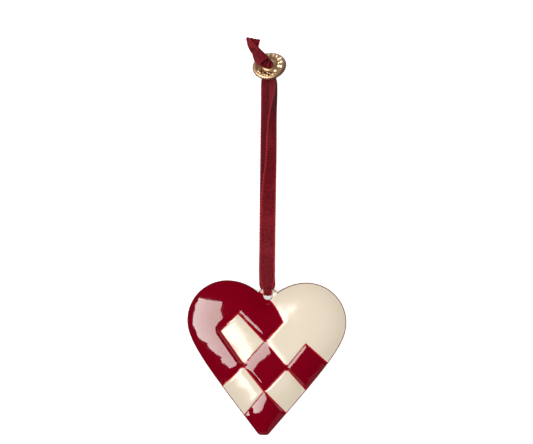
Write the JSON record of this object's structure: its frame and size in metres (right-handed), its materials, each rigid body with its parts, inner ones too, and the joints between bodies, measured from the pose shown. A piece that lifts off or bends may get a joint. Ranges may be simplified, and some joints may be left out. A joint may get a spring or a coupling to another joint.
{
  "type": "woven heart hanging ornament",
  "caption": "Pillowed metal heart with an enamelled red and cream woven pattern, an eyelet and a knotted ribbon loop threaded through a small brass disc.",
  "frame": {"origin": "middle of the heart's box, at the surface that its back lies on", "axes": "+Z out of the decorated face, +X across the heart to the cream lobe, +Y from the tip to the eyelet"},
  "size_m": [0.06, 0.1494, 0.009],
  "materials": {
    "heart_enamel": "glossy red enamel with cream enamel squares and a cream lobe",
    "ribbon": "dark red woven satin ribbon",
    "brass": "stamped brass, polished high parts and darker field"
  },
  "bodies": {
    "root": {"heart": "heart_enamel", "ribbon_loop": "ribbon", "ribbon_knot": "ribbon", "brass_disc": "brass"}
  },
  "joints": []
}
